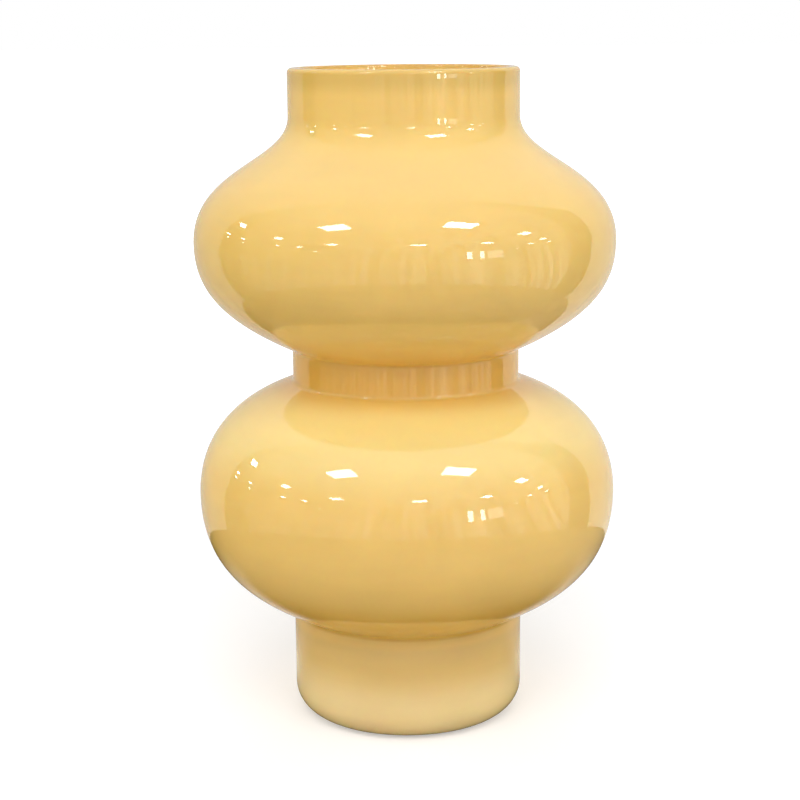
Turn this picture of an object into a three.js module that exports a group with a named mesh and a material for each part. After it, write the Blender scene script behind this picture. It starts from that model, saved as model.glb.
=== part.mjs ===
// A blown glass vase with a straight foot, two squashed bulbs, a short waist and a straight neck.
// It is cased glass: a layer of yellow opal glass outside, fused to a layer of clear glass inside.
// Millimetres, +Z up. The origin is the centre of the ring that the vase stands on.
import * as THREE from 'three';

// Radii of the outside
const footRadius = 53.2;
const lowerBulbRadius = 96;
const waistRadius = 52;
const upperBulbRadius = 95.8;
const neckRadius = 52.2;

// Heights of the outside, stacked from the table up
const footHeight = 50;
const lowerUndersideHeight = 56.8;
const lowerShoulderHeight = 51.4;
const waistHeight = 15.4;
const upperUndersideHeight = 49;
const upperShoulderHeight = 56;
const neckHeight = 21.4;

// Slope of the glass where a bulb leaves a straight stretch, in degrees above level
const lowerUndersideSlope = 28;
const lowerShoulderSlope = 17.5;
const upperUndersideSlope = 25;

// How far each half bulb keeps its slope (reach) and its upright side (flank) before it bends
const lowerUndersideReach = 17.5;
const lowerUndersideFlank = 36.6;
const lowerShoulderReach = 37.4;
const lowerShoulderFlank = 16;
const upperUndersideReach = 34;
const upperUndersideFlank = 21;
const upperShoulderFlank = 33.3;
const neckFlareReach = 20.2;

// Roundings of the outside
const footCornerRadius = 14;
const footFilletRadius = 3;
const waistBottomFilletRadius = 2.3;
const waistTopFilletRadius = 2;

// Underside: a flat ring to stand on, round a shallow hollow
const standingRingWidth = 10;
const hollowDepth = 3;

// Glass layers
const overlayThickness = 3;
const layerGap = 0.3;
const liningThickness = 2.1;
const floorThickness = 7;
const floorCornerRadius = 14;
const overlayLipRadius = 2;
const liningLipRadius = 1.5;

// Fineness of the turned surfaces
const turnSegments = 40;
const bulbSteps = 6;
const shoulderSteps = 8;
const cornerSteps = 4;
const filletSteps = 2;
const lipSteps = 3;

// Levels worked out from the stacked heights
const lowerEquatorLevel = footHeight + lowerUndersideHeight;
const waistBottomLevel = lowerEquatorLevel + lowerShoulderHeight;
const waistTopLevel = waistBottomLevel + waistHeight;
const upperEquatorLevel = waistTopLevel + upperUndersideHeight;
const neckBottomLevel = upperEquatorLevel + upperShoulderHeight;
const rimLevel = neckBottomLevel + neckHeight;

// Depths below the outside, and the floor that the layers make over the hollow of the base
const liningDepth = overlayThickness + layerGap;
const wallDepth = liningDepth + liningThickness;
const floorLevel = hollowDepth + liningDepth + floorThickness;

// Sides of a collar that a bulb can lie on
const DOWN = -1;
const UP = 1;

function pointAt(radius, level) {
  return new THREE.Vector2(radius, level);
}

// Direction that climbs or falls away from the axis at a slope in degrees
function slopeDirection(slope, side) {
  const angle = THREE.MathUtils.degToRad(slope);
  return pointAt(Math.cos(angle), side * Math.sin(angle));
}

// Points along a curve, each with the direction that leads into the glass
function stationsAlong(curve, steps) {
  const stations = [];
  for (let step = 0; step <= steps; step += 1) {
    const tangent = curve.getTangent(step / steps);
    stations.push({
      point: curve.getPoint(step / steps),
      inward: pointAt(-tangent.y, tangent.x),
    });
  }
  return stations;
}

function straight(start, end) {
  return stationsAlong(new THREE.LineCurve(start, end), 1);
}

function bend(start, startHandle, endHandle, end, steps) {
  return stationsAlong(new THREE.CubicBezierCurve(start, startHandle, endHandle, end), steps);
}

// Where a bulb leaves a straight stretch: a small fillet, then half a bulb out to its widest place.
// The side says whether the bulb rises or falls on its way out.
function halfBulb({ collarRadius, collarLevel, bulbRadius, bulbLevel, slope, reach, flank, fillet, side }) {
  const outward = slopeDirection(slope, side);
  const cornerAngle = THREE.MathUtils.degToRad(90 + slope);
  const setback = fillet / Math.tan(cornerAngle / 2);
  const corner = pointAt(collarRadius, collarLevel);
  const onCollar = pointAt(collarRadius, collarLevel - side * setback);
  const onBulb = corner.clone().addScaledVector(outward, setback);
  const roundHandle = (4 / 3) * fillet * Math.tan((Math.PI - cornerAngle) / 4);
  const upright = pointAt(0, side);
  const widest = pointAt(bulbRadius, bulbLevel);
  const filletCurve = new THREE.CubicBezierCurve(
    onCollar,
    onCollar.clone().addScaledVector(upright, roundHandle),
    onBulb.clone().addScaledVector(outward, -roundHandle),
    onBulb,
  );
  const bulbCurve = new THREE.CubicBezierCurve(
    onBulb,
    onBulb.clone().addScaledVector(outward, reach),
    widest.clone().addScaledVector(upright, -flank),
    widest,
  );
  return { onCollar, filletCurve, bulbCurve };
}

// The same curve walked from its far end
function reversed(curve) {
  return new THREE.CubicBezierCurve(curve.v3, curve.v2, curve.v1, curve.v0);
}

// Underside: the shallow hollow, the standing ring and the rounded corner of the foot
function undersideStations() {
  const ringOuter = footRadius - footCornerRadius;
  const ringInner = ringOuter - standingRingWidth;
  const hollowTop = pointAt(0, hollowDepth);
  const ringStart = pointAt(ringInner, 0);
  const hollow = bend(
    hollowTop,
    pointAt(ringInner / 2, hollowDepth),
    pointAt(ringInner / 2, 0),
    ringStart,
    cornerSteps,
  );
  hollow[0].inward = pointAt(0, UP);
  const cornerCentre = pointAt(ringOuter, footCornerRadius);
  const corner = new THREE.EllipseCurve(
    cornerCentre.x,
    cornerCentre.y,
    footCornerRadius,
    footCornerRadius,
    -Math.PI / 2,
    0,
  );
  return [...hollow, ...straight(ringStart, pointAt(ringOuter, 0)), ...stationsAlong(corner, cornerSteps)];
}

// The whole outside from the middle of the base to the rim, before the lip is rounded
function outlineStations() {
  const lowerUnderside = halfBulb({
    collarRadius: footRadius,
    collarLevel: footHeight,
    bulbRadius: lowerBulbRadius,
    bulbLevel: lowerEquatorLevel,
    slope: lowerUndersideSlope,
    reach: lowerUndersideReach,
    flank: lowerUndersideFlank,
    fillet: footFilletRadius,
    side: UP,
  });
  const lowerShoulder = halfBulb({
    collarRadius: waistRadius,
    collarLevel: waistBottomLevel,
    bulbRadius: lowerBulbRadius,
    bulbLevel: lowerEquatorLevel,
    slope: lowerShoulderSlope,
    reach: lowerShoulderReach,
    flank: lowerShoulderFlank,
    fillet: waistBottomFilletRadius,
    side: DOWN,
  });
  const upperUnderside = halfBulb({
    collarRadius: waistRadius,
    collarLevel: waistTopLevel,
    bulbRadius: upperBulbRadius,
    bulbLevel: upperEquatorLevel,
    slope: upperUndersideSlope,
    reach: upperUndersideReach,
    flank: upperUndersideFlank,
    fillet: waistTopFilletRadius,
    side: UP,
  });
  const upperShoulder = bend(
    pointAt(upperBulbRadius, upperEquatorLevel),
    pointAt(upperBulbRadius, upperEquatorLevel + upperShoulderFlank),
    pointAt(neckRadius, neckBottomLevel - neckFlareReach),
    pointAt(neckRadius, neckBottomLevel),
    shoulderSteps,
  );
  const underside = undersideStations();
  const footTop = underside[underside.length - 1].point;
  return dropRepeats([
    ...underside,
    ...straight(footTop, lowerUnderside.onCollar),
    ...stationsAlong(lowerUnderside.filletCurve, filletSteps),
    ...stationsAlong(lowerUnderside.bulbCurve, bulbSteps),
    ...stationsAlong(reversed(lowerShoulder.bulbCurve), bulbSteps),
    ...stationsAlong(reversed(lowerShoulder.filletCurve), filletSteps),
    ...straight(lowerShoulder.onCollar, upperUnderside.onCollar),
    ...stationsAlong(upperUnderside.filletCurve, filletSteps),
    ...stationsAlong(upperUnderside.bulbCurve, bulbSteps),
    ...upperShoulder,
    ...straight(pointAt(neckRadius, neckBottomLevel), pointAt(neckRadius, rimLevel)),
  ]);
}

// Neighbouring curves share an end, which the outline holds once
function dropRepeats(stations) {
  const shortestStep = 1e-6;
  return stations.filter((station, index) => (
    index === 0 || station.point.distanceTo(stations[index - 1].point) > shortestStep
  ));
}

// The outline moved into the glass by an even depth
function surfaceAtDepth(stations, depth) {
  return stations.map(({ point, inward }) => point.clone().addScaledVector(inward, depth));
}

// A quarter round on the lip, between a wall and the flat crest
function lipRound(centreRadius, radius, startAngle) {
  const level = rimLevel - radius;
  const endAngle = startAngle + Math.PI / 2;
  const round = new THREE.EllipseCurve(centreRadius, level, radius, radius, startAngle, endAngle);
  return round.getPoints(lipSteps);
}

function turned(name, profile, material) {
  const geometry = new THREE.LatheGeometry(profile, turnSegments);
  geometry.rotateX(Math.PI / 2);
  const mesh = new THREE.Mesh(geometry, material);
  mesh.name = name;
  return mesh;
}

const stations = outlineStations();

// The outer layer, from the standing ring to the outer half of the lip
function opalOverlay() {
  const outside = surfaceAtDepth(stations, 0).slice(0, -1);
  const inside = surfaceAtDepth(stations, overlayThickness).reverse();
  const lipRadius = Math.min(overlayLipRadius, overlayThickness);
  const lip = lipRound(neckRadius - lipRadius, lipRadius, 0);
  const material = new THREE.MeshStandardMaterial({ color: '#f0cb7c', roughness: 0.08, metalness: 0 });
  return turned('opal_overlay', [...outside, ...lip, ...inside], material);
}

// The inner layer, which follows the overlay outside and has a flat floor inside
function clearLining() {
  const outside = surfaceAtDepth(stations, liningDepth);
  const lipRadius = Math.min(liningLipRadius, liningThickness);
  const lip = lipRound(neckRadius - wallDepth + lipRadius, lipRadius, Math.PI / 2);
  const cornerTop = floorLevel + floorCornerRadius;
  const wall = stations.filter(({ point }) => point.y > cornerTop);
  const inside = surfaceAtDepth(wall, wallDepth).slice(0, -1).reverse();
  const floorCorner = new THREE.EllipseCurve(
    footRadius - wallDepth - floorCornerRadius,
    cornerTop,
    floorCornerRadius,
    floorCornerRadius,
    0,
    -Math.PI / 2,
    true,
  );
  const floor = [...floorCorner.getPoints(cornerSteps), pointAt(0, floorLevel)];
  const material = new THREE.MeshStandardMaterial({
    color: '#f6e6c4',
    roughness: 0.05,
    metalness: 0,
    transparent: true,
    opacity: 0.35,
  });
  return turned('clear_lining', [...outside, ...lip, ...inside, ...floor], material);
}

const vase = new THREE.Group();
vase.name = 'glass_vase';
vase.add(opalOverlay(), clearLining());

export default vase;
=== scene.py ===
"""A blown glass vase of two bulbs, in two fused layers of glass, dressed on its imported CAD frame."""

import math

import bmesh
import bpy
from mathutils import Matrix, Vector


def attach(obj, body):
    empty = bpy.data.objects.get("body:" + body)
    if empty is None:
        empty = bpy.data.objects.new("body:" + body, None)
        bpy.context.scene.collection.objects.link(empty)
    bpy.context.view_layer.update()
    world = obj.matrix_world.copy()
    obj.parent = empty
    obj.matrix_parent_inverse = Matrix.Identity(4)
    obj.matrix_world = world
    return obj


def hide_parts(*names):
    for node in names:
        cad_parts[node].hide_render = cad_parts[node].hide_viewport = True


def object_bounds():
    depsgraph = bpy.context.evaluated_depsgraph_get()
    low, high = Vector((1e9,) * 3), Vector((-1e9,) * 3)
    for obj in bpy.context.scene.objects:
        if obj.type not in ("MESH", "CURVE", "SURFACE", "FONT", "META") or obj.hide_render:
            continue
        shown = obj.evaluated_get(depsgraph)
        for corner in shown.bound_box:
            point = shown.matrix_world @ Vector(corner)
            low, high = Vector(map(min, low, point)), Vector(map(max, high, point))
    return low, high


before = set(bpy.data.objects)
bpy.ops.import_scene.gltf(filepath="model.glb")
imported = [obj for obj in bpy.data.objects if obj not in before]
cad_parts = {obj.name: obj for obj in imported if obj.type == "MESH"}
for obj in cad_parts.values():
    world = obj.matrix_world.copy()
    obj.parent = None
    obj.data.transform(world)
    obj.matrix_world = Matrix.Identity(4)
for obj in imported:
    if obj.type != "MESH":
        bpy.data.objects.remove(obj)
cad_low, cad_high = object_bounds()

bl_info = {
    "name": "Glass Vase",
    "version": (1, 0, 0),
    "blender": (4, 5, 0),
    "location": "3D View > Sidebar > Glass Vase",
    "description": "Models a blown vase of two bulbs in opal glass with a clear lining",
    "category": "Add Mesh",
}

# Picture: its width and the distance of the vase's axis from its middle, in pixels, and the sensor in mm
IMAGE_WIDTH = 800
AXIS_RIGHT = 6.2
SENSOR_WIDTH = 36

# Modelling, in metres: how far the lining reaches into the opal, the width of the speck that a section
# is drawn from, the distance at which points are merged, and how far off a lip's edge is still found
FUSED_OVERLAP = 0.00002
SPECK = 0.001
MERGE_DISTANCE = 0.000001
LIP_TOLERANCE = 0.00001

# Facets and profile of a lip's rounding, and the angle in degrees up to which faces are shaded smooth
LIP_SEGMENTS = 8
ROUND_PROFILE = 0.5
SMOOTH_ANGLE = 35

# Most values of a noise texture lie between these
NOISE_LOW = 0.3
NOISE_HIGH = 0.7

# Floor in metres: its width, and how far from the vase its shadow starts to fade and is gone
FLOOR_WIDTH = 40
FADE_START = 0.3
FADE_END = 1.2

# The studio that the glass mirrors: the distance of its pale wall and of the cards hung before it, in
# metres, and the elevations that its walls cover, in degrees
STUDIO_REACH = 22.0
GREY_WALL_REACH = 21.5
STRIP_REACH = 21.0
PANE_REACH = 20.0
WALL_ELEVATIONS = (-2, 89.9)

# Bearings from straight behind the vase, in degrees: the bright side, and the edges of the cloths
BRIGHT_BEARING = 145
RIGHT_EDGE = 61
LEFT_EDGE = 64.5
STRIP_EDGE = 81.5

# Cloths round the studio: brightness on its dim side and on its bright side, and depth of the folds
PALE_CLOTH = (0.65, 1.5, 0.0)
GREY_CLOTH = (0.1, 1.4, 0.65)
DARK_CLOTH = (0.0, 0.3, 0.1)

# Fineness of the folds, level both ways and up, on a sphere of radius 1 round the vase
FOLD_SCALE = (16, 16, 1.5)

# Brightness of each cloth straight overhead
PALE_OVERHEAD = 2.2
GREY_OVERHEAD = 2.0
DARK_OVERHEAD = 1.7

# Colour of all that shines in the studio, and columns and rows of faces in a curved card
STUDIO_WHITE = "#FFF9F0"
CARD_COLUMNS = 64
CARD_ROWS = 48

# Round board under the vase: its middle and radius in metres, where it is darkest between the dim side
# at -1 and the bright side at 1, and its brightness there and on the bright side
BOARD_MIDDLE = (0, -0.136, 0)
BOARD_RADIUS = 0.395
BOARD_DARKEST = -0.7
BOARD_DIM = 0.02
BOARD_BRIGHT = 0.6

# Close to the foot: how far the vase's painted shadow reaches on the board in metres, and the painted glow
# behind it
SHADE_START = 0.06
SHADE_END = 0.24
BOARD_PAINTED_GLOW = 0.8

# Point before the vase, where lines from the bulbs' sides cross and the wedges of the floor start
WEDGE_POINT = (0, -0.08, 0)

# Soft lamps: name, bearing from straight behind the vase, elevation, and light as a share of full white
SOFTBOXES = (
    ("key_softbox", 180, 46, 0.73),
    ("left_softbox", -75, 12, 0.31),
    ("right_softbox", 75, 12, 0.3),
    ("back_softbox", 0, 40, 0.26),
)


def linear(hex_colour):
    """A colour written as sRGB hex, as the linear values that a shader takes."""
    channels = []
    for start in (1, 3, 5):
        value = int(hex_colour[start : start + 2], 16) / 255
        if value <= 0.04045:
            channels.append(value / 12.92)
        else:
            channels.append(((value + 0.055) / 1.055) ** 2.4)
    return (*channels, 1.0)


def length(name, description, default):
    """A length in metres that a user can change."""
    return bpy.props.FloatProperty(
        name=name,
        description=description,
        default=default,
        min=0.0,
        precision=4,
        subtype="DISTANCE",
        unit="LENGTH",
    )


def slope(name, description, degrees):
    """An angle that a user can change."""
    return bpy.props.FloatProperty(
        name=name,
        description=description,
        default=math.radians(degrees),
        subtype="ANGLE",
        unit="ROTATION",
    )


def level(name, description, default):
    """A plain number that a user can change, such as a strength."""
    return bpy.props.FloatProperty(name=name, description=description, default=default, min=0.0)


def tint(name, description, hex_colour):
    """A colour that a user can change."""
    return bpy.props.FloatVectorProperty(
        name=name,
        description=description,
        default=linear(hex_colour),
        size=4,
        min=0.0,
        max=1.0,
        subtype="COLOR",
    )


class VaseSizes(bpy.types.PropertyGroup):
    """Sizes of the vase, as in its CAD source."""

    foot_radius: length("Foot radius", "Radius of the straight foot", 0.0532)
    lower_bulb_radius: length("Lower bulb radius", "Radius of the lower bulb at its widest", 0.096)
    waist_radius: length("Waist radius", "Radius of the short waist", 0.052)
    upper_bulb_radius: length("Upper bulb radius", "Radius of the upper bulb at its widest", 0.0958)
    neck_radius: length("Neck radius", "Radius of the straight neck", 0.0522)

    foot_height: length("Foot height", "From the table to the lower bulb", 0.05)
    lower_underside_height: length("Lower underside", "From the foot to the lower bulb's widest", 0.0568)
    lower_shoulder_height: length("Lower shoulder", "From there to the waist", 0.0514)
    waist_height: length("Waist height", "Height of the straight waist", 0.0154)
    upper_underside_height: length("Upper underside", "From the waist to the upper bulb's widest", 0.049)
    upper_shoulder_height: length("Upper shoulder", "From there to the neck", 0.056)
    neck_height: length("Neck height", "Height of the straight neck", 0.0214)

    lower_underside_slope: slope("Lower underside slope", "Slope where it leaves the foot", 28)
    lower_shoulder_slope: slope("Lower shoulder slope", "Slope where it meets the waist", 17.5)
    upper_underside_slope: slope("Upper underside slope", "Slope where it leaves the waist", 25)

    lower_underside_reach: length("Lower underside reach", "How far it keeps its slope", 0.0175)
    lower_underside_flank: length("Lower underside flank", "How far it keeps its upright side", 0.0366)
    lower_shoulder_reach: length("Lower shoulder reach", "How far it keeps its slope", 0.0374)
    lower_shoulder_flank: length("Lower shoulder flank", "How far it keeps its upright side", 0.016)
    upper_underside_reach: length("Upper underside reach", "How far it keeps its slope", 0.034)
    upper_underside_flank: length("Upper underside flank", "How far it keeps its upright side", 0.021)
    upper_shoulder_flank: length("Upper shoulder flank", "How far it keeps its upright side", 0.0333)
    neck_flare_reach: length("Neck flare reach", "How gently the shoulder turns up into the neck", 0.0202)

    foot_corner_radius: length("Foot corner", "Rounding at the bottom of the foot", 0.014)
    foot_fillet_radius: length("Foot fillet", "Rounding where the lower bulb leaves the foot", 0.003)
    waist_bottom_fillet_radius: length("Waist bottom fillet", "Rounding under the waist", 0.0023)
    waist_top_fillet_radius: length("Waist top fillet", "Rounding over the waist", 0.002)

    standing_ring_width: length("Standing ring", "Width of the flat ring under the foot", 0.01)
    hollow_depth: length("Hollow depth", "Depth of the hollow inside that ring", 0.003)

    overlay_thickness: length("Opal thickness", "Thickness of the outer layer", 0.003)
    wall_thickness: length("Wall thickness", "Thickness of both layers together", 0.0054)
    floor_level: length("Floor level", "Height of the floor inside the vase", 0.0133)
    floor_corner_radius: length("Floor corner", "Rounding between the floor and the wall", 0.014)
    overlay_lip_radius: length("Outer lip rounding", "Rounding of the lip outside", 0.002)
    lining_lip_radius: length("Inner lip rounding", "Rounding of the lip inside", 0.0015)

    turn_steps: bpy.props.IntProperty(
        name="Turn steps",
        description="Steps round the axis",
        default=128,
        min=8,
    )
    bulb_spacing: length("Bulb spacing", "Distance between rings on the bulbs and walls", 0.0022)
    fillet_spacing: length("Fillet spacing", "Distance between rings on the small fillets", 0.0004)


class GlassLook(bpy.types.PropertyGroup):
    """Colours and gloss of the two glasses."""

    # Painted light: the bottom of the foot is paler for the floor's light that glows up through the thick
    # glass floor, and for less shade from the bulb above
    opal_base_lit: tint("Opal, base", "Pale colour at the bottom of the foot, over the thick floor", "#FADB9E")
    opal_foot: tint("Opal, foot", "Colour at the thicker foot", "#EAC67C")
    opal_neck: tint("Opal, neck", "Colour at the thicker neck", "#E7C46E")
    opal_lip: tint("Opal, lip", "Deeper colour at the polished lip", "#D7B560")
    # Painted light: the top of the foot is paler, to lift the shade under the lower bulb
    opal_collar_lit: tint("Opal, collar", "Pale colour at the top of the foot", "#F7CD7C")
    # Painted light: the lower bulb is made a shade paler than the upper one, for the extra light it gets
    opal_lower_lit: tint("Opal, lower bulb", "Colour where the lower bulb is blown thin", "#EEC570")
    # Painted light: the lower bulb's shoulder under the waist is palest, to lift the shade of the upper
    # bulb over it
    opal_crown_lit: tint("Opal, crown", "Palest colour, on the shoulder of the lower bulb", "#EDD083")
    # Painted shade: the creases at the waist and over the foot get the deepest colour, where shade falls
    opal_crease_shade: tint("Opal, creases", "Deepest colour, at the waist and over the foot", "#E8B856")
    opal_upper: tint("Opal, upper bulb", "Colour where the upper bulb is blown thin", "#E8C26C")
    clear_pale: tint("Clear, pale", "Tint of the clear lining", "#FFFEFA")
    clear_warm: tint("Clear, warm", "Tint of its faint streaks", "#FFFCF4")
    clear_shade: tint("Clear, shade", "Share of the lamps' light that it lets through", "#E2DFDA")
    opal_ior: level("Opal IOR", "Index of refraction of the opal glass", 1.54)
    clear_ior: level("Clear IOR", "Index of refraction of the clear glass", 1.52)


class StageSetup(bpy.types.PropertyGroup):
    """Floor, lamps and camera."""

    ambient: level("Ambient", "Strength of the soft light from all round", 0.41)
    floor_glow: level("Floor glow", "Share of white that the floor keeps in the shadow", 0.4)
    floor_paint: tint("Floor colour", "Paint of the plain floor", "#D4D4D4")
    panel_height: length("Panel height", "Height of the overhead panels over the floor", 2.4)
    panel_radiance: level("Panel radiance", "Brightness of a panel, as the glass mirrors it", 24.0)
    camera_distance: length("Camera distance", "From the axis of the vase", 0.857)
    camera_height: length("Camera height", "Over the floor", 0.3215)
    camera_pitch: slope("Camera pitch", "Downwards", 11.45)
    camera_roll: slope("Camera roll", "Clockwise", 0.5)
    focal_length: level("Focal length", "In millimetres on a 36 mm sensor", 84.96)


# Outline of the vase, as stations: a point of the outside and the way from it into the glass


def bend(start, start_handle, end_handle, end, spacing):
    """Stations along one smooth bend."""
    leaving = start_handle - start
    crossing = end_handle - start_handle
    arriving = end - end_handle
    polygon = leaving.length + crossing.length + arriving.length
    steps = max(2, round(polygon / spacing))
    stations = []
    for step in range(steps + 1):
        t = step / steps
        u = 1 - t
        point = start * u**3 + start_handle * (3 * u * u * t) + end_handle * (3 * u * t * t) + end * t**3
        along = leaving * u * u + crossing * (2 * u * t) + arriving * t * t
        along.normalize()
        stations.append((point, Vector((-along.y, along.x))))
    return stations


def straight(start, end, spacing):
    """Stations along a straight stretch."""
    return bend(start, start.lerp(end, 1 / 3), start.lerp(end, 2 / 3), end, spacing)


def round_handle(radius, angle):
    """Length of the handles of a bend that stands for a circular arc."""
    return radius * 4 / 3 * math.tan(angle / 4)


def quarter_round(start, end, corner, spacing):
    """Stations along a quarter circle from one straight to the next, round their corner."""
    share = round_handle(1, math.pi / 2)
    return bend(start, start.lerp(corner, share), end.lerp(corner, share), end, spacing)


def half_bulb(collar, widest, slope_angle, reach, flank, fillet, spacings):
    """Stations from a straight collar, through a small fillet, out to the widest place of a bulb."""
    side = 1 if widest.y > collar.y else -1
    bulb_spacing, fillet_spacing = spacings
    outward = Vector((math.cos(slope_angle), side * math.sin(slope_angle)))
    upright = Vector((0, side))
    turn = math.pi / 2 - slope_angle
    setback = fillet * math.tan(turn / 2)
    on_collar = collar - upright * setback
    on_bulb = collar + outward * setback
    handle = round_handle(fillet, turn)
    rounding = bend(
        on_collar,
        on_collar + upright * handle,
        on_bulb - outward * handle,
        on_bulb,
        fillet_spacing,
    )
    bulb = bend(on_bulb, on_bulb + outward * reach, widest - upright * flank, widest, bulb_spacing)
    return rounding + bulb


def walked_back(stations):
    """The same stations from the far end. The glass stays on the same side of them."""
    return [(point, -inward) for point, inward in reversed(stations)]


def outline(sizes):
    """Stations of the whole outside, from the middle of the base to the rim."""
    spacing = sizes.bulb_spacing
    spacings = (spacing, sizes.fillet_spacing)
    ring_outer = sizes.foot_radius - sizes.foot_corner_radius
    ring_inner = ring_outer - sizes.standing_ring_width
    lower_equator = sizes.foot_height + sizes.lower_underside_height
    waist_bottom = lower_equator + sizes.lower_shoulder_height
    waist_top = waist_bottom + sizes.waist_height
    upper_equator = waist_top + sizes.upper_underside_height
    neck_bottom = upper_equator + sizes.upper_shoulder_height
    rim = neck_bottom + sizes.neck_height
    hollow = bend(
        Vector((0, sizes.hollow_depth)),
        Vector((ring_inner / 2, sizes.hollow_depth)),
        Vector((ring_inner / 2, 0)),
        Vector((ring_inner, 0)),
        spacing,
    )
    standing_ring = straight(Vector((ring_inner, 0)), Vector((ring_outer, 0)), spacing)
    foot_corner = quarter_round(
        Vector((ring_outer, 0)),
        Vector((sizes.foot_radius, sizes.foot_corner_radius)),
        Vector((sizes.foot_radius, 0)),
        spacing,
    )
    lower_underside = half_bulb(
        Vector((sizes.foot_radius, sizes.foot_height)),
        Vector((sizes.lower_bulb_radius, lower_equator)),
        sizes.lower_underside_slope,
        sizes.lower_underside_reach,
        sizes.lower_underside_flank,
        sizes.foot_fillet_radius,
        spacings,
    )
    lower_shoulder = walked_back(
        half_bulb(
            Vector((sizes.waist_radius, waist_bottom)),
            Vector((sizes.lower_bulb_radius, lower_equator)),
            sizes.lower_shoulder_slope,
            sizes.lower_shoulder_reach,
            sizes.lower_shoulder_flank,
            sizes.waist_bottom_fillet_radius,
            spacings,
        )
    )
    upper_underside = half_bulb(
        Vector((sizes.waist_radius, waist_top)),
        Vector((sizes.upper_bulb_radius, upper_equator)),
        sizes.upper_underside_slope,
        sizes.upper_underside_reach,
        sizes.upper_underside_flank,
        sizes.waist_top_fillet_radius,
        spacings,
    )
    upper_shoulder = bend(
        Vector((sizes.upper_bulb_radius, upper_equator)),
        Vector((sizes.upper_bulb_radius, upper_equator + sizes.upper_shoulder_flank)),
        Vector((sizes.neck_radius, neck_bottom - sizes.neck_flare_reach)),
        Vector((sizes.neck_radius, neck_bottom)),
        spacing,
    )
    foot_wall = straight(foot_corner[-1][0], lower_underside[0][0], spacing)
    waist_wall = straight(lower_shoulder[-1][0], upper_underside[0][0], spacing)
    neck_wall = straight(upper_shoulder[-1][0], Vector((sizes.neck_radius, rim)), 2 * spacing)
    stretches = (
        hollow,
        standing_ring,
        foot_corner,
        foot_wall,
        lower_underside,
        lower_shoulder,
        waist_wall,
        upper_underside,
        upper_shoulder,
        neck_wall,
    )
    stations = [hollow[0]]
    for stretch in stretches:
        stations += stretch[1:]
    return stations


# Modelling by hand: a drawn section, turned about the axis


def draw_section(name, points):
    """Draws a section as a chain of edges, extruded point by point from a single point."""
    bpy.ops.object.select_all(action="DESELECT")
    bpy.ops.mesh.primitive_plane_add(size=SPECK, location=(0, 0, 0))
    piece = bpy.context.active_object
    piece.name = name
    piece.data.name = name
    bpy.ops.object.mode_set(mode="EDIT")
    bpy.ops.mesh.select_mode(type="VERT")
    bpy.ops.mesh.select_all(action="SELECT")
    bpy.ops.mesh.merge(type="CENTER")
    bpy.ops.transform.translate(value=(points[0].x, 0, points[0].y))
    for here, there in zip(points, points[1:]):
        step = there - here
        bpy.ops.mesh.extrude_region_move(TRANSFORM_OT_translate={"value": (step.x, 0, step.y)})
    return piece


def turn_section(steps):
    """Spins the drawn section once round the axis and closes its seam and its poles."""
    bpy.ops.mesh.select_all(action="SELECT")
    bpy.ops.mesh.spin(steps=steps, angle=math.tau, center=(0, 0, 0), axis=(0, 0, 1))
    bpy.ops.mesh.select_all(action="SELECT")
    bpy.ops.mesh.remove_doubles(threshold=MERGE_DISTANCE)
    bpy.ops.mesh.normals_make_consistent(inside=False)


def round_lip(piece, radius, height, rounding):
    """Bevels the ring of edges at this radius and height."""
    bpy.ops.object.mode_set(mode="EDIT")
    bpy.ops.mesh.select_mode(type="EDGE")
    bpy.ops.mesh.select_all(action="DESELECT")
    bpy.ops.object.mode_set(mode="OBJECT")
    corners = piece.data.vertices
    found = 0
    for edge in piece.data.edges:
        ends = [corners[index].co for index in edge.vertices]
        edge.select = all(
            max(abs(end.xy.length - radius), abs(end.z - height)) < LIP_TOLERANCE for end in ends
        )
        found += edge.select
    if not found:
        raise RuntimeError(f"{piece.name} has no lip edge at {radius} m")
    bpy.ops.object.mode_set(mode="EDIT")
    bpy.ops.mesh.bevel(
        offset=rounding,
        segments=LIP_SEGMENTS,
        profile=ROUND_PROFILE,
        affect="EDGES",
        clamp_overlap=True,
    )
    bpy.ops.object.mode_set(mode="OBJECT")


def settle(piece, node, material):
    """Smooths a finished piece, gives it its glass, and sets it on the frame in its node's place."""
    solid = bmesh.new()
    solid.from_mesh(piece.data)
    volume = solid.calc_volume(signed=True)
    solid.free()
    if volume <= 0:
        raise RuntimeError(f"{piece.name} is inside out")
    bpy.ops.object.select_all(action="DESELECT")
    piece.select_set(True)
    bpy.context.view_layer.objects.active = piece
    bpy.ops.object.shade_smooth_by_angle(angle=math.radians(SMOOTH_ANGLE))
    piece.data.materials.append(material)
    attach(piece, "root")
    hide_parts(node)


# Materials


def add_node(tree, kind, settings=None, inputs=None):
    """Adds a node, sets its options, and fills or links its inputs."""
    node = tree.nodes.new(kind)
    for name, value in (settings or {}).items():
        setattr(node, name, value)
    for name, value in (inputs or {}).items():
        socket = node.inputs[name]
        if isinstance(value, bpy.types.NodeSocket):
            tree.links.new(value, socket)
        else:
            socket.default_value = value
    return node


def new_tree(name):
    """A new material and its node tree, which is still empty."""
    material = bpy.data.materials.new(name)
    material.use_nodes = True
    tree = material.node_tree
    tree.nodes.clear()
    return material, tree


def waves_per_metre(millimetres):
    """Scale of a noise whose features are about this wide."""
    return 1000 / millimetres
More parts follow.
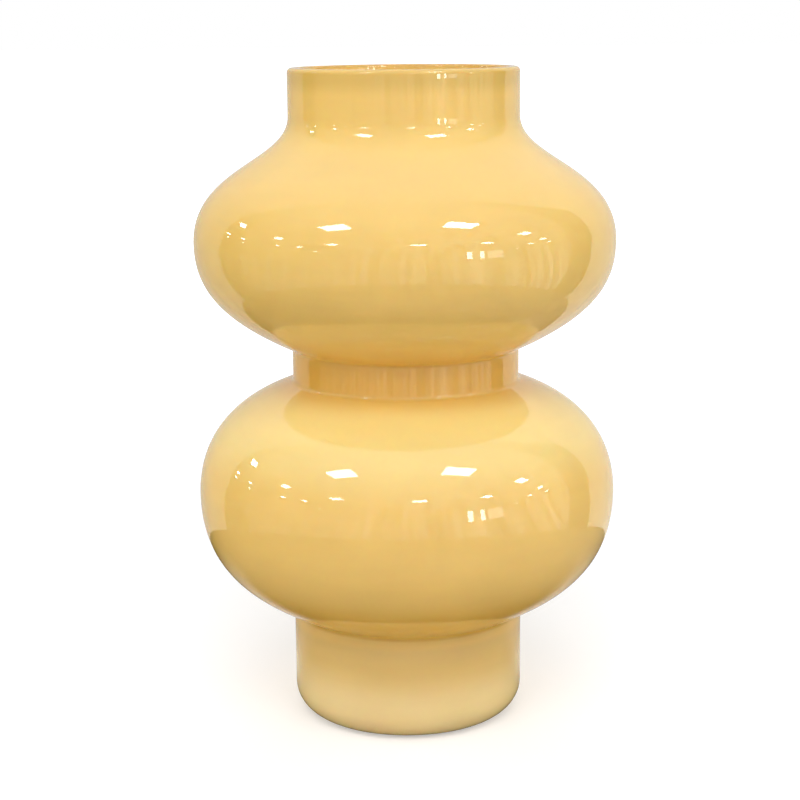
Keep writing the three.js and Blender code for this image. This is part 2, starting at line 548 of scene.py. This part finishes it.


# Opal glass, blown and fire-polished: an even milky body under a skin as smooth as water.
# The body is paler at the bottom and top of the foot, on the lower bulb and on its shoulder, as painted
# light, and deepest in the creases, as painted shade. Clouds and drawn-out cords show faintly in it.
def opal_glass(look, rim_height):
    material, tree = new_tree("opal_glass_fire_polished")
    place = add_node(tree, "ShaderNodeTexCoord").outputs["Object"]
    height = add_node(tree, "ShaderNodeSeparateXYZ", None, {"Vector": place})
    climb = add_node(
        tree,
        "ShaderNodeMapRange",
        None,
        {"Value": height.outputs["Z"], "From Min": 0, "From Max": rim_height, "To Min": 0, "To Max": 1},
    )
    # Tints up the vase, each with the heights in metres between which it holds. The pale base, collar,
    # lower bulb and crown are painted light, and the deep crease tint is painted shade
    bands = (
        (look.opal_base_lit, 0.0, 0.016),
        (look.opal_foot, 0.036, 0.0425),
        (look.opal_collar_lit, 0.0465, 0.0482),
        (look.opal_crease_shade, 0.0498, 0.060),
        (look.opal_lower_lit, 0.080, 0.118),
        (look.opal_crown_lit, 0.140, 0.153),
        (look.opal_crease_shade, 0.161, 0.170),
        (look.opal_upper, 0.182, 0.255),
        (look.opal_neck, 0.280, 0.288),
        (look.opal_lip, 0.2955, rim_height),
    )
    body = add_node(tree, "ShaderNodeValToRGB", None, {"Fac": climb.outputs["Result"]})
    ramp = body.color_ramp
    ramp.interpolation = "EASE"
    stops = [(edge, colour) for colour, low, high in bands for edge in (low, high)]
    while len(ramp.elements) < len(stops):
        ramp.elements.new(1.0)
    for stop, (edge, colour) in zip(ramp.elements, stops):
        stop.position = edge / rim_height
        stop.color = colour
    # Clouds of the opal crystals, about 28 mm across
    clouds = add_node(
        tree,
        "ShaderNodeTexNoise",
        None,
        {"Vector": place, "Scale": waves_per_metre(28), "Detail": 2.0, "Roughness": 0.45},
    )
    # Cords about 5 mm wide, drawn out round the axis as the glass is turned
    drawn = add_node(
        tree,
        "ShaderNodeMapping",
        None,
        {"Vector": place, "Rotation": (0.12, 0.05, 0.0), "Scale": (0.12, 0.12, 1.0)},
    )
    cords = add_node(
        tree,
        "ShaderNodeTexNoise",
        None,
        {
            "Vector": drawn.outputs["Vector"],
            "Scale": waves_per_metre(5),
            "Detail": 3.0,
            "Roughness": 0.5,
        },
    )
    # The cords count half as much as the clouds
    streaks = add_node(
        tree,
        "ShaderNodeMath",
        {"operation": "MULTIPLY_ADD"},
        {0: cords.outputs["Fac"], 1: 0.5, 2: clouds.outputs["Fac"]},
    )
    milkiness = add_node(
        tree,
        "ShaderNodeMapRange",
        None,
        {
            "Value": streaks.outputs["Value"],
            "From Min": 0.5,
            "From Max": 1.0,
            "To Min": 0.965,
            "To Max": 1.02,
        },
    )
    colour = add_node(
        tree,
        "ShaderNodeVectorMath",
        {"operation": "SCALE"},
        {0: body.outputs["Color"], "Scale": milkiness.outputs["Result"]},
    )
    # Handling leaves the skin a little less glossy in soft patches about 45 mm across
    patches = add_node(
        tree,
        "ShaderNodeTexNoise",
        None,
        {"Vector": place, "Scale": waves_per_metre(45), "Detail": 1.0},
    )
    gloss = add_node(
        tree,
        "ShaderNodeMapRange",
        None,
        {
            "Value": patches.outputs["Fac"],
            "From Min": NOISE_LOW,
            "From Max": NOISE_HIGH,
            "To Min": 0.003,
            "To Max": 0.009,
        },
    )
    # The skin rolls by a few hundredths of a millimetre over about 40 mm
    rolls = add_node(
        tree,
        "ShaderNodeTexNoise",
        None,
        {"Vector": place, "Scale": waves_per_metre(40), "Detail": 0.0},
    )
    skin = add_node(
        tree,
        "ShaderNodeBump",
        None,
        {"Strength": 1.0, "Distance": 0.00003, "Height": rolls.outputs["Fac"]},
    )
    glass = add_node(
        tree,
        "ShaderNodeBsdfPrincipled",
        None,
        {
            "Base Color": colour.outputs["Vector"],
            "Roughness": gloss.outputs["Result"],
            "IOR": look.opal_ior,
            "Subsurface Weight": 0.5,
            "Subsurface Radius": (1.0, 0.6, 0.25),
            "Subsurface Scale": 0.004,
            "Normal": skin.outputs["Normal"],
        },
    )
    add_node(tree, "ShaderNodeOutputMaterial", None, {"Surface": glass.outputs["BSDF"]})
    return material


# Clear soda-lime glass, blown: colourless but for faint warm cords, and smooth enough to mirror.
# It shows the opal behind it a shade deeper, with a sharp reflection in front.
def clear_glass(look):
    material, tree = new_tree("clear_glass_blown")
    place = add_node(tree, "ShaderNodeTexCoord").outputs["Object"]
    # Cords about 6 mm wide, drawn out round the axis
    drawn = add_node(
        tree,
        "ShaderNodeMapping",
        None,
        {"Vector": place, "Rotation": (0.0, 0.08, 0.0), "Scale": (0.15, 0.15, 1.0)},
    )
    cords = add_node(
        tree,
        "ShaderNodeTexNoise",
        None,
        {"Vector": drawn.outputs["Vector"], "Scale": waves_per_metre(6), "Detail": 2.0},
    )
    colour = add_node(
        tree,
        "ShaderNodeMix",
        {"data_type": "RGBA"},
        {0: cords.outputs["Fac"], 6: look.clear_pale, 7: look.clear_warm},
    )
    skin = add_node(
        tree,
        "ShaderNodeBump",
        None,
        {"Strength": 1.0, "Distance": 0.00004, "Height": cords.outputs["Fac"]},
    )
    glass = add_node(
        tree,
        "ShaderNodeBsdfPrincipled",
        None,
        {
            "Base Color": colour.outputs[2],
            "Roughness": 0.01,
            "IOR": look.clear_ior,
            "Transmission Weight": 1.0,
            "Normal": skin.outputs["Normal"],
        },
    )
    # Lamps shine through it on to the opal behind
    path = add_node(tree, "ShaderNodeLightPath")
    through = add_node(tree, "ShaderNodeBsdfTransparent", None, {"Color": look.clear_shade})
    both = add_node(
        tree,
        "ShaderNodeMixShader",
        None,
        {0: path.outputs["Is Shadow Ray"], 1: glass.outputs["BSDF"], 2: through.outputs["BSDF"]},
    )
    add_node(tree, "ShaderNodeOutputMaterial", None, {"Surface": both.outputs[0]})
    return material


# Pieces


class VASE_OT_opal_overlay(bpy.types.Operator):
    """Turn the outer layer of opal glass, from the standing ring to the outer half of the lip"""

    bl_idname = "vase.opal_overlay"
    bl_label = "Opal Overlay"

    def execute(self, context):
        sizes = context.scene.vase_sizes
        stations = outline(sizes)
        piece = draw_section("opal_overlay_glass", [point for point, inward in stations])
        turn_section(sizes.turn_steps)
        bpy.ops.object.mode_set(mode="OBJECT")
        bpy.ops.object.modifier_add(type="SOLIDIFY")
        wall = piece.modifiers[-1]
        wall.thickness = sizes.overlay_thickness
        wall.offset = -1
        wall.use_even_offset = True
        wall.use_quality_normals = True
        bpy.ops.object.modifier_apply(modifier=wall.name)
        rim = stations[-1][0]
        round_lip(piece, rim.x, rim.y, sizes.overlay_lip_radius)
        settle(piece, "opal_overlay", opal_glass(context.scene.glass_look, rim.y))
        return {"FINISHED"}


class VASE_OT_clear_lining(bpy.types.Operator):
    """Turn the clear lining, with its thick flat floor and the inner half of the lip"""

    bl_idname = "vase.clear_lining"
    bl_label = "Clear Lining"

    def execute(self, context):
        sizes = context.scene.vase_sizes
        stations = outline(sizes)
        # The layers are fused, so the lining reaches a hair into the opal
        fused = sizes.overlay_thickness - FUSED_OVERLAP
        wall = sizes.wall_thickness
        inside_radius = sizes.foot_radius - wall
        corner_top = sizes.floor_level + sizes.floor_corner_radius
        points = [point + inward * fused for point, inward in stations]
        points += [point + inward * wall for point, inward in reversed(stations) if point.y > corner_top]
        floor_edge = Vector((inside_radius - sizes.floor_corner_radius, sizes.floor_level))
        floor_corner = quarter_round(
            Vector((inside_radius, corner_top)),
            floor_edge,
            Vector((inside_radius, sizes.floor_level)),
            sizes.bulb_spacing,
        )
        floor = straight(floor_edge, Vector((0, sizes.floor_level)), 2 * sizes.bulb_spacing)
        points += [point for point, inward in floor_corner + floor[1:]]
        piece = draw_section("clear_lining_glass", points)
        turn_section(sizes.turn_steps)
        rim = stations[-1][0]
        round_lip(piece, rim.x - wall, rim.y, sizes.lining_lip_radius)
        settle(piece, "clear_lining", clear_glass(context.scene.glass_look))
        return {"FINISHED"}


# Stage


def background_rays(tree):
    """A socket that is 1 for rays that should see the plain white surroundings."""
    path = add_node(tree, "ShaderNodeLightPath")
    seen = add_node(
        tree,
        "ShaderNodeMath",
        {"operation": "ADD", "use_clamp": True},
        {0: path.outputs["Is Camera Ray"], 1: path.outputs["Is Glossy Ray"]},
    )
    seen = add_node(
        tree,
        "ShaderNodeMath",
        {"operation": "ADD", "use_clamp": True},
        {0: seen.outputs["Value"], 1: path.outputs["Is Transmission Ray"]},
    )
    return seen.outputs["Value"]


def white_surroundings(ambient):
    """A white world: full white where it is seen, and a soft level where it lights."""
    world = bpy.data.worlds.new("white_surroundings")
    bpy.context.scene.world = world
    world.use_nodes = True
    tree = world.node_tree
    tree.nodes.clear()
    strength = add_node(
        tree,
        "ShaderNodeMix",
        {"data_type": "FLOAT"},
        {0: background_rays(tree), 2: ambient, 3: 1.0},
    )
    light = add_node(
        tree,
        "ShaderNodeBackground",
        None,
        {"Color": (1, 1, 1, 1), "Strength": strength.outputs[0]},
    )
    add_node(tree, "ShaderNodeOutputWorld", None, {"Surface": light.outputs["Background"]})


# Matt white paint: it spreads the light evenly, and its glow makes it white up to the vase's shadow
def floor_paint(setup):
    material, tree = new_tree("matt_white_paint")
    paint = add_node(tree, "ShaderNodeBsdfDiffuse", None, {"Color": setup.floor_paint})
    place = add_node(tree, "ShaderNodeTexCoord").outputs["Object"]
    away = add_node(tree, "ShaderNodeVectorMath", {"operation": "LENGTH"}, {0: place})
    white = add_node(
        tree,
        "ShaderNodeMapRange",
        {"interpolation_type": "SMOOTHSTEP"},
        {
            "Value": away.outputs["Value"],
            "From Min": FADE_START,
            "From Max": FADE_END,
            "To Min": setup.floor_glow,
            "To Max": 1.0,
        },
    )
    strength = add_node(
        tree,
        "ShaderNodeMath",
        {"operation": "MULTIPLY"},
        {0: background_rays(tree), 1: white.outputs["Result"]},
    )
    glow = add_node(tree, "ShaderNodeEmission", None, {"Strength": strength.outputs["Value"]})
    both = add_node(tree, "ShaderNodeAddShader", None, {0: paint.outputs[0], 1: glow.outputs[0]})
    add_node(tree, "ShaderNodeOutputMaterial", None, {"Surface": both.outputs[0]})
    return material


def toward_bright_side(tree, place):
    """How far a place on a card lies toward the bright side of the studio, from -1 to 1."""
    flat = add_node(tree, "ShaderNodeVectorMath", {"operation": "MULTIPLY"}, {0: place, 1: (1, 1, 0)})
    way = add_node(tree, "ShaderNodeVectorMath", {"operation": "NORMALIZE"}, {0: flat.outputs["Vector"]})
    side = add_node(
        tree,
        "ShaderNodeVectorMath",
        {"operation": "DOT_PRODUCT"},
        {0: way.outputs["Vector"], 1: seen_at(BRIGHT_BEARING, 0, 1)},
    )
    return side.outputs["Value"]


def shine(tree, strength):
    """Finishes the material of a card that shines with a strength."""
    light = add_node(
        tree,
        "ShaderNodeEmission",
        None,
        {"Color": linear(STUDIO_WHITE), "Strength": strength},
    )
    add_node(tree, "ShaderNodeOutputMaterial", None, {"Surface": light.outputs["Emission"]})


def folded_grey(tree, place, dim_side, bright_side, folding):
    """How bright a cloth is at a place: dim on one side of the studio, with soft upright folds."""
    around = add_node(
        tree,
        "ShaderNodeMapRange",
        None,
        {
            "Value": toward_bright_side(tree, place),
            "From Min": -1,
            "From Max": 1,
            "To Min": dim_side,
            "To Max": bright_side,
        },
    )
    way = add_node(tree, "ShaderNodeVectorMath", {"operation": "NORMALIZE"}, {0: place})
    upright = add_node(
        tree,
        "ShaderNodeMapping",
        None,
        {"Vector": way.outputs["Vector"], "Scale": FOLD_SCALE},
    )
    folds = add_node(
        tree,
        "ShaderNodeTexNoise",
        None,
        {"Vector": upright.outputs["Vector"], "Scale": 1.0, "Detail": 3.0},
    )
    depth = add_node(
        tree,
        "ShaderNodeMapRange",
        None,
        {
            "Value": folds.outputs["Fac"],
            "From Min": NOISE_LOW,
            "From Max": NOISE_HIGH,
            "To Min": 1 - folding,
            "To Max": 1 + folding,
        },
    )
    folded = add_node(
        tree,
        "ShaderNodeMath",
        {"operation": "MULTIPLY"},
        {0: around.outputs["Result"], 1: depth.outputs["Result"]},
    )
    return folded.outputs["Value"]


# Grey cloth, seen only in the glass: dim by the floor, and white overhead
def studio_cloth(name, cloth, overhead):
    material, tree = new_tree(name)
    place = add_node(tree, "ShaderNodeTexCoord").outputs["Object"]
    folded = folded_grey(tree, place, *cloth)
    way = add_node(tree, "ShaderNodeVectorMath", {"operation": "NORMALIZE"}, {0: place})
    height = add_node(tree, "ShaderNodeSeparateXYZ", None, {"Vector": way.outputs["Vector"]})
    climb = add_node(
        tree,
        "ShaderNodeMath",
        {"operation": "POWER", "use_clamp": True},
        {0: height.outputs["Z"], 1: 2.0},
    )
    strength = add_node(
        tree,
        "ShaderNodeMix",
        {"data_type": "FLOAT"},
        {0: climb.outputs["Value"], 2: folded, 3: overhead},
    )
    shine(tree, strength.outputs[0])
    return material


# Grey floor paint, seen only in the glass: as the cloths behind it, with a darker round board on it, and a
# painted shadow and glow round the vase's foot
def mirrored_floor_paint():
    material, tree = new_tree("grey_floor_with_painted_shadow")
    place = add_node(tree, "ShaderNodeTexCoord").outputs["Object"]
    side = toward_bright_side(tree, place)
    board = add_node(
        tree,
        "ShaderNodeMapRange",
        None,
        {
            "Value": side,
            "From Min": BOARD_DARKEST,
            "From Max": 1,
            "To Min": BOARD_DIM,
            "To Max": BOARD_BRIGHT,
        },
    )
    # Painted shadow and glow: close to its foot the vase keeps the light off the board in front, and
    # behind it the board is painted to glow
    axes = add_node(tree, "ShaderNodeSeparateXYZ", None, {"Vector": place})
    glow = add_node(
        tree,
        "ShaderNodeMapRange",
        {"interpolation_type": "SMOOTHSTEP"},
        {
            "Value": axes.outputs["Y"],
            "From Min": 0,
            "From Max": SHADE_START,
            "To Min": 0,
            "To Max": BOARD_PAINTED_GLOW,
        },
    )
    from_foot = add_node(tree, "ShaderNodeVectorMath", {"operation": "LENGTH"}, {0: place})
    unshaded = add_node(
        tree,
        "ShaderNodeMapRange",
        {"interpolation_type": "SMOOTHSTEP"},
        {
            "Value": from_foot.outputs["Value"],
            "From Min": SHADE_START,
            "From Max": SHADE_END,
            "To Min": 0,
            "To Max": 1,
        },
    )
    shaded_board = add_node(
        tree,
        "ShaderNodeMix",
        {"data_type": "FLOAT"},
        {0: unshaded.outputs["Result"], 2: glow.outputs["Result"], 3: board.outputs["Result"]},
    )
    # Past the board a pale wedge lies behind the vase, between two dark ones
    from_point = add_node(
        tree,
        "ShaderNodeVectorMath",
        {"operation": "SUBTRACT"},
        {0: place, 1: WEDGE_POINT},
    )
    way = add_node(
        tree,
        "ShaderNodeVectorMath",
        {"operation": "NORMALIZE"},
        {0: from_point.outputs["Vector"]},
    )
    behind = add_node(tree, "ShaderNodeSeparateXYZ", None, {"Vector": way.outputs["Vector"]})
    wedge = add_node(
        tree,
        "ShaderNodeMath",
        {"operation": "GREATER_THAN"},
        {0: behind.outputs["Y"], 1: math.cos(math.radians((LEFT_EDGE + RIGHT_EDGE) / 2))},
    )
    wide_wedge = add_node(
        tree,
        "ShaderNodeMath",
        {"operation": "GREATER_THAN"},
        {0: behind.outputs["Y"], 1: math.cos(math.radians(STRIP_EDGE))},
    )
    before = add_node(
        tree,
        "ShaderNodeMix",
        {"data_type": "FLOAT"},
        {
            0: wide_wedge.outputs["Value"],
            2: folded_grey(tree, place, *GREY_CLOTH),
            3: folded_grey(tree, place, *DARK_CLOTH),
        },
    )
    open_floor = add_node(
        tree,
        "ShaderNodeMix",
        {"data_type": "FLOAT"},
        {0: wedge.outputs["Value"], 2: before.outputs[0], 3: folded_grey(tree, place, *PALE_CLOTH)},
    )
    from_middle = add_node(
        tree,
        "ShaderNodeVectorMath",
        {"operation": "SUBTRACT"},
        {0: place, 1: BOARD_MIDDLE},
    )
    away = add_node(
        tree,
        "ShaderNodeVectorMath",
        {"operation": "LENGTH"},
        {0: from_middle.outputs["Vector"]},
    )
    past_board = add_node(
        tree,
        "ShaderNodeMath",
        {"operation": "GREATER_THAN"},
        {0: away.outputs["Value"], 1: BOARD_RADIUS},
    )
    strength = add_node(
        tree,
        "ShaderNodeMix",
        {"data_type": "FLOAT"},
        {0: past_board.outputs["Value"], 2: shaded_board.outputs[0], 3: open_floor.outputs[0]},
    )
    shine(tree, strength.outputs[0])
    return material


# Lit white panel, seen only in the glass: a small hard white patch
def lit_panel(name, strength):
    material, tree = new_tree(name)
    shine(tree, strength)
    return material


def only_in_reflections(card):
    """Hides a card from everything but the gloss of the glass."""
    card.visible_camera = False
    card.visible_diffuse = False
    card.visible_shadow = False
    card.visible_transmission = False


def mirrored_floor():
    """A wide card just over the floor, which the glass mirrors and nothing else sees."""
    over_floor = 0.001
    sides = 96
    bpy.ops.object.select_all(action="DESELECT")
    bpy.ops.mesh.primitive_circle_add(
        vertices=sides,
        radius=STUDIO_REACH,
        fill_type="TRIFAN",
        location=(0, 0, over_floor),
    )
    card = bpy.context.active_object
    card.name = "stage_mirrored_floor"
    card.data.materials.append(mirrored_floor_paint())
    only_in_reflections(card)
    return card


def edge_bearing(low_bearing, elevation):
    """Bearing at an elevation of an upright edge that leans to the side overhead."""
    lean_start = 32
    lean_power = 0.8
    if elevation <= lean_start:
        return low_bearing
    share = (elevation - lean_start) / (90 - lean_start)
    return low_bearing + (90 - low_bearing) * share**lean_power


def seen_at(bearing, elevation, distance):
    """The place at a bearing from straight behind the vase, an elevation and a distance."""
    turn = math.radians(bearing)
    lift = math.radians(elevation)
    level_distance = distance * math.cos(lift)
    right = level_distance * math.sin(turn)
    back = level_distance * math.cos(turn)
    return Vector((right, back, distance * math.sin(lift)))


def curved_card(name, distance, elevations, bearings, material):
    """A card bent round the vase. Each of its two bearings is given by a function of the elevation."""
    bpy.ops.object.select_all(action="DESELECT")
    bpy.ops.mesh.primitive_grid_add(
        x_subdivisions=CARD_COLUMNS,
        y_subdivisions=CARD_ROWS,
        size=2,
        location=(0, 0, 0),
    )
    card = bpy.context.active_object
    card.name = name
    lowest, highest = elevations
    for vertex in card.data.vertices:
        across = (vertex.co.x + 1) / 2
        elevation = lowest + (highest - lowest) * (vertex.co.y + 1) / 2
        first, last = (bearing(elevation) for bearing in bearings)
        vertex.co = seen_at(first + (last - first) * across, elevation, distance)
    card.data.materials.append(material)
    only_in_reflections(card)
    return card


def studio_walls():
    """Cloths that the glass mirrors: pale all round, grey on the camera's side, with dark edges."""
    strip_cloth = studio_cloth("dark_grey_cloth", DARK_CLOTH, DARK_OVERHEAD)
    pale_wall = curved_card(
        "stage_pale_wall",
        STUDIO_REACH,
        WALL_ELEVATIONS,
        (lambda elevation: 0, lambda elevation: 360),
        studio_cloth("pale_grey_cloth", PALE_CLOTH, PALE_OVERHEAD),
    )
    grey_wall = curved_card(
        "stage_grey_wall",
        GREY_WALL_REACH,
        WALL_ELEVATIONS,
        (
            lambda elevation: edge_bearing(RIGHT_EDGE, elevation),
            lambda elevation: 360 - edge_bearing(LEFT_EDGE, elevation),
        ),
        studio_cloth("grey_cloth", GREY_CLOTH, GREY_OVERHEAD),
    )
    right_strip = curved_card(
        "stage_right_strip",
        STRIP_REACH,
        WALL_ELEVATIONS,
        (
            lambda elevation: edge_bearing(RIGHT_EDGE, elevation),
            lambda elevation: edge_bearing(STRIP_EDGE, elevation),
        ),
        strip_cloth,
    )
    left_strip = curved_card(
        "stage_left_strip",
        STRIP_REACH,
        WALL_ELEVATIONS,
        (
            lambda elevation: 360 - edge_bearing(STRIP_EDGE, elevation),
            lambda elevation: 360 - edge_bearing(LEFT_EDGE, elevation),
        ),
        strip_cloth,
    )
    return [pale_wall, grey_wall, right_strip, left_strip]


def bright_panes():
    """Hard bright panes on the bright side, as bearings, elevations and a strength."""
    panes = (
        ((144.8, 147.8), (-1.5, 10.0), 16.0),
        ((138.3, 140.6), (-1.5, 9.5), 16.0),
        ((127.5, 136.5), (0.0, 9.5), 4.0),
    )
    cards = []
    for index, ((first, last), elevations, strength) in enumerate(panes):
        bearings = (lambda elevation, at=first: at, lambda elevation, at=last: at)
        material = lit_panel(f"lit_pane_{index}", strength)
        cards.append(curved_card(f"stage_pane_{index}", PANE_REACH, elevations, bearings, material))
    return cards


def overhead_panels(setup):
    """Flat panels in rows overhead. The nearer pair gives the bright marks on the bulbs."""
    # Widths, depths and centres are shares of the panels' height over the bulbs
    bulb_level = 0.18
    over_bulbs = setup.panel_height - bulb_level
    width, depth = 0.36, 0.25
    centres = (
        (-0.73, -0.70),
        (0.55, -0.69),
        (1.96, -0.68),
        (-2.52, -0.76),
        (-2.18, 0.60),
        (-1.73, -2.06),
        (0.30, -2.43),
        (1.96, -1.94),
        (3.6, -0.66),
        (5.3, -0.65),
        (5.8, -3.2),
        (-3.5, -2.19),
        (-4.4, -3.95),
        (-6.6, 0.8),
        (-5.8, 2.2),
        (-4.33, 1.68),
        (-4.69, 0.62),
        (-4.45, -1.45),
        (4.36, -1.55),
    )
    bpy.ops.object.select_all(action="DESELECT")
    panels = []
    for across, behind in centres:
        place = (across * over_bulbs, behind * over_bulbs, setup.panel_height)
        bpy.ops.mesh.primitive_plane_add(size=1, location=place)
        panel = bpy.context.active_object
        panel.scale = (width * over_bulbs, depth * over_bulbs, 1)
        panels.append(panel)
    for panel in panels:
        panel.select_set(True)
    bpy.ops.object.transform_apply(location=True, rotation=False, scale=True)
    bpy.ops.object.join()
    joined = bpy.context.active_object
    joined.name = "stage_overhead_panels"
    joined.data.materials.append(lit_panel("lit_overhead_panel", setup.panel_radiance))
    only_in_reflections(joined)
    return joined


def softboxes():
    """Large soft lamps. They have no reflection of their own in the glass."""
    distance = 2.4
    side = 1.5
    middle = Vector((0, 0, (cad_low[2] + cad_high[2]) / 2))
    for name, bearing, elevation, strength in SOFTBOXES:
        way = seen_at(bearing, elevation, distance)
        bpy.ops.object.light_add(type="AREA", location=middle + way)
        softbox = bpy.context.active_object
        softbox.name = name
        softbox.rotation_euler = (-way).to_track_quat("-Z", "Y").to_euler()
        softbox.data.shape = "SQUARE"
        softbox.data.size = side
        radiance = strength * math.pi * distance**2 / side**2
        softbox.data.energy = radiance * math.pi * side**2
        softbox.visible_camera = False
        softbox.visible_glossy = False


def photo_camera(setup):
    """The camera at the photograph's viewing angle."""
    # The axis of the vase stands a few pixels right of the middle
    focal_pixels = setup.focal_length / SENSOR_WIDTH * IMAGE_WIDTH
    aside = AXIS_RIGHT / focal_pixels * setup.camera_distance
    bpy.ops.object.camera_add(location=(-aside, -setup.camera_distance, setup.camera_height))
    camera = bpy.context.active_object
    camera.name = "photo_camera"
    pitch = Matrix.Rotation(math.pi / 2 - setup.camera_pitch, 4, "X")
    roll = Matrix.Rotation(-setup.camera_roll, 4, "Z")
    camera.rotation_euler = (pitch @ roll).to_euler()
    camera.data.sensor_width = SENSOR_WIDTH
    camera.data.lens = setup.focal_length
    bpy.context.scene.camera = camera


class VASE_OT_stage(bpy.types.Operator):
    """Add the pale floor, the soft light and the camera"""

    bl_idname = "vase.stage"
    bl_label = "Stage"

    def execute(self, context):
        setup = context.scene.stage_setup
        bpy.ops.object.select_all(action="DESELECT")
        bpy.ops.mesh.primitive_plane_add(size=FLOOR_WIDTH, location=(0, 0, 0))
        floor = context.active_object
        floor.name = "stage_floor"
        floor.data.materials.append(floor_paint(setup))
        mirrored_floor()
        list(studio_walls())
        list(bright_panes())
        overhead_panels(setup)
        white_surroundings(setup.ambient)
        softboxes()
        photo_camera(setup)
        context.scene.view_settings.view_transform = "Standard"
        return {"FINISHED"}


class VASE_PT_sidebar(bpy.types.Panel):
    """Sizes, colours and steps of the vase"""

    bl_idname = "VASE_PT_sidebar"
    bl_label = "Glass Vase"
    bl_space_type = "VIEW_3D"
    bl_region_type = "UI"
    bl_category = "Glass Vase"

    def draw(self, context):
        scene = context.scene
        for group in (scene.vase_sizes, scene.glass_look, scene.stage_setup):
            column = self.layout.column(align=True)
            for name in group.__annotations__:
                column.prop(group, name)
        for operator in OPERATORS:
            self.layout.operator(operator.bl_idname)


OPERATORS = (VASE_OT_opal_overlay, VASE_OT_clear_lining, VASE_OT_stage)
CLASSES = (VaseSizes, GlassLook, StageSetup, *OPERATORS, VASE_PT_sidebar)


def register():
    for cls in CLASSES:
        bpy.utils.register_class(cls)
    bpy.types.Scene.vase_sizes = bpy.props.PointerProperty(type=VaseSizes)
    bpy.types.Scene.glass_look = bpy.props.PointerProperty(type=GlassLook)
    bpy.types.Scene.stage_setup = bpy.props.PointerProperty(type=StageSetup)


def unregister():
    del bpy.types.Scene.stage_setup
    del bpy.types.Scene.glass_look
    del bpy.types.Scene.vase_sizes
    for cls in reversed(CLASSES):
        bpy.utils.unregister_class(cls)


def main():
    register()
    bpy.ops.vase.opal_overlay()
    bpy.ops.vase.clear_lining()
    bpy.ops.vase.stage()


if __name__ == "__main__":
    main()
